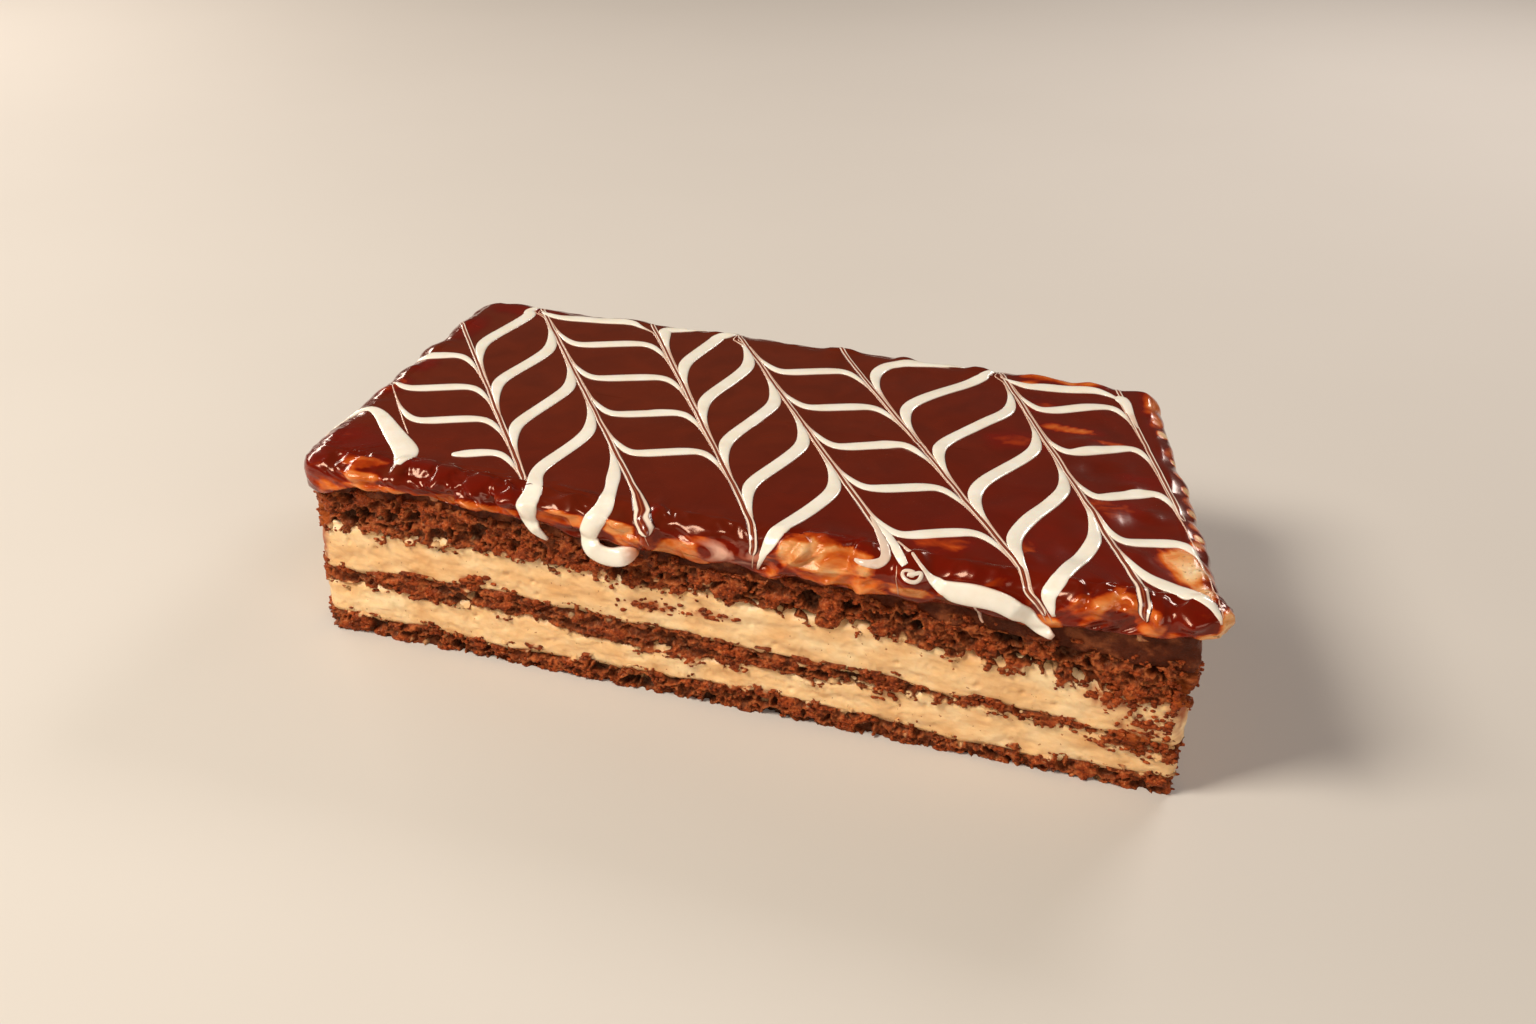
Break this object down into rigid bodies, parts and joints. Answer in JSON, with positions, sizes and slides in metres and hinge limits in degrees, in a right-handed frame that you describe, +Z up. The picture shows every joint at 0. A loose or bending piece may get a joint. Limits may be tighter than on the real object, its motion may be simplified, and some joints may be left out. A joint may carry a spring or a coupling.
{
  "type": "opera cake",
  "caption": "Rectangular slab of layered opera cake with chocolate sponge, coffee cream, and a chocolate glaze feathered with white icing, one end cut at a slant.",
  "frame": {"origin": "middle of the flat underside: half-way along the front edge and half-way back", "axes": "+X along the slab, -Y out of the cut front face, +Z up out of the glazed top"},
  "size_m": [0.211, 0.107, 0.0447],
  "materials": {
    "sponge": "open crumb, matte with moist specks",
    "cream": "smooth cut cream, slightly moist",
    "ganache": "soft satin chocolate",
    "caramel": "moist, streaked",
    "glaze": "high gloss mirror glaze",
    "icing": "smooth glossy icing"
  },
  "bodies": {
    "root": {"sponge_base": "sponge", "cream_lower": "cream", "sponge_middle": "sponge", "cream_upper": "cream", "sponge_top": "sponge", "ganache": "ganache", "caramel": "caramel", "glaze": "glaze"}
  },
  "joints": []
}
